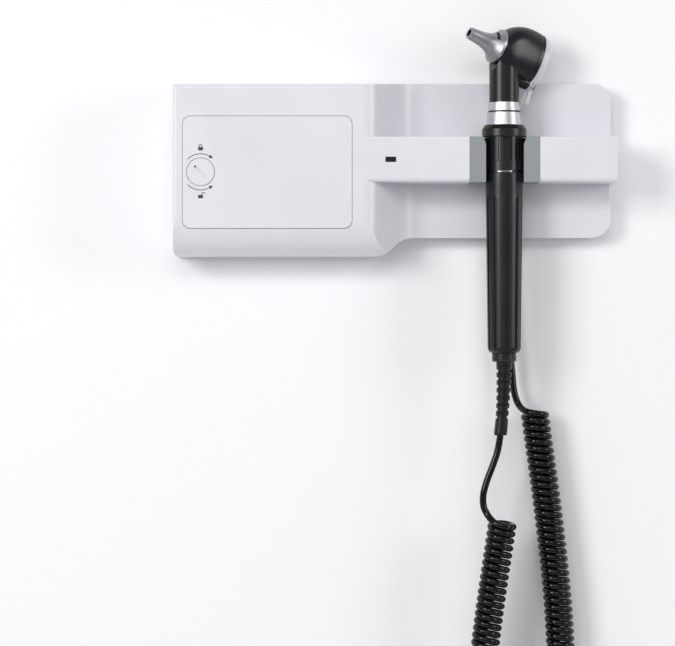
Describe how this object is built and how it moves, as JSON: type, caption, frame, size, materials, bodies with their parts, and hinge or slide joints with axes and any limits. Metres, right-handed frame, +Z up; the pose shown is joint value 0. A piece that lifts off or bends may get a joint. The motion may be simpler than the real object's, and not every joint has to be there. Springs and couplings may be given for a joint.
{
  "type": "otoscope",
  "caption": "Wall-mounted otoscope set: white battery wall unit with a grey cradle, black corded handset with tilted optical head, metal speculum and swing lens, curly cord.",
  "frame": {"origin": "centre of the four wall-screw holes, on the rear face that lies against the wall", "axes": "+X to the right along the wall for a viewer who faces the unit, +Y into the wall, +Z up"},
  "size_m": [0.3048, 0.0512, 0.5042],
  "materials": {
    "white_shell": "satin moulded ABS, warm white",
    "inner_plastic": "plain moulded plastic",
    "grey_cradle": "fine matt mid grey",
    "black_handle": "satin black moulding",
    "black_gloss": "polished black",
    "silver_metal": "satin plated, fine turning marks",
    "speculum_metal": "satin chromed",
    "clear_plastic": "polished clear acrylic",
    "tinted_window": "dark tinted",
    "steel": "zinc plated",
    "brass": "turned brass",
    "cell_sleeve": "printed film sleeve",
    "circuit_board": "green solder mask",
    "component_black": "moulded epoxy",
    "small_glass": "clear glass tube",
    "cord_black": "glossy polyurethane jacket",
    "inner_wire": "thin PVC insulation"
  },
  "bodies": {
    "wall_unit": {"front_housing": "white_shell", "rear_plate": "inner_plastic", "housing_screws": "steel", "cradle_insert": "grey_cradle", "battery_tray": "inner_plastic", "battery_1": "cell_sleeve", "battery_2": "cell_sleeve", "battery_3": "cell_sleeve", "battery_4": "cell_sleeve", "negative_contact": "steel", "positive_contact": "steel", "link_contact": "steel", "driver_board": "circuit_board", "board_screws": "steel", "boost_coil": "component_black", "smoothing_capacitor": "component_black", "driver_chip": "component_black", "board_connector": "inner_plastic", "reed_switch": "small_glass", "indicator_led": "small_glass", "indicator_window": "tinted_window", "battery_leads": "inner_wire", "cord_gland": "cord_black", "output_leads": "inner_wire", "cord_lead_wall": "cord_black", "cord_coil_right": "cord_black", "cord_coil_bottom": "cord_black"},
    "door": {"battery_door": "white_shell"},
    "lock": {"lock_knob": "white_shell", "lock_cam": "steel", "lock_clip": "steel"},
    "handset": {"handle_grip": "black_handle", "handle_core": "steel", "collar_trim": "black_gloss", "handle_cone": "silver_metal", "bayonet_lugs": "silver_metal", "head_seal": "cord_black", "dimmer_board": "circuit_board", "dimmer_control": "component_black", "handle_magnet": "steel", "contact_insulator": "inner_plastic", "contact_plunger": "brass", "handle_end_ring": "black_handle", "strain_relief": "cord_black", "cord_coil_left": "cord_black", "cord_lead_handset": "cord_black"},
    "dimmer_ring": {"brightness_ring": "black_handle"},
    "head": {"head_case": "black_handle", "head_neck": "black_handle", "head_ring": "silver_metal", "led_heat_sink": "brass", "led_contact": "brass", "led_emitter": "clear_plastic", "light_guide": "clear_plastic", "speculum_seat": "black_handle", "magnifier_frame": "black_handle", "lens_pivot": "steel"},
    "lens": {"magnifier_lens": "clear_plastic"},
    "ear_speculum": {"speculum": "speculum_metal"}
  },
  "joints": [
    {"name": "handset_lift", "type": "slide", "parent": "wall_unit", "child": "handset", "axis": [0, -0.8, 0.6], "range_m": [0, 0.045]},
    {"name": "brightness_turn", "type": "hinge", "parent": "handset", "child": "dimmer_ring", "pos_m": [0.0753, -0.035, 0.014], "axis": [0, 0, 1], "range_deg": [-120, 120]},
    {"name": "head_twist", "type": "hinge", "parent": "handset", "child": "head", "pos_m": [0.0753, -0.035, 0.043], "axis": [0, 0, 1], "range_deg": [-30, 0]},
    {"name": "lens_swing", "type": "hinge", "parent": "head", "child": "lens", "pos_m": [0.09339, -0.02578, 0.05934], "axis": [0.8318, 0.4238, -0.3584], "range_deg": [0, 42]},
    {"name": "speculum_pull", "type": "slide", "parent": "head", "child": "ear_speculum", "axis": [-0.8318, -0.4238, 0.3584], "range_m": [0, 0.028]},
    {"name": "door_swing", "type": "hinge", "parent": "wall_unit", "child": "door", "pos_m": [-0.0294, -0.048, -0.0016], "axis": [0, 0, 1], "range_deg": [0, 75]},
    {"name": "lock_turn", "type": "hinge", "parent": "door", "child": "lock", "pos_m": [-0.1333, -0.048, -0.0015], "axis": [0, -1, 0], "range_deg": [-90, 0]}
  ]
}
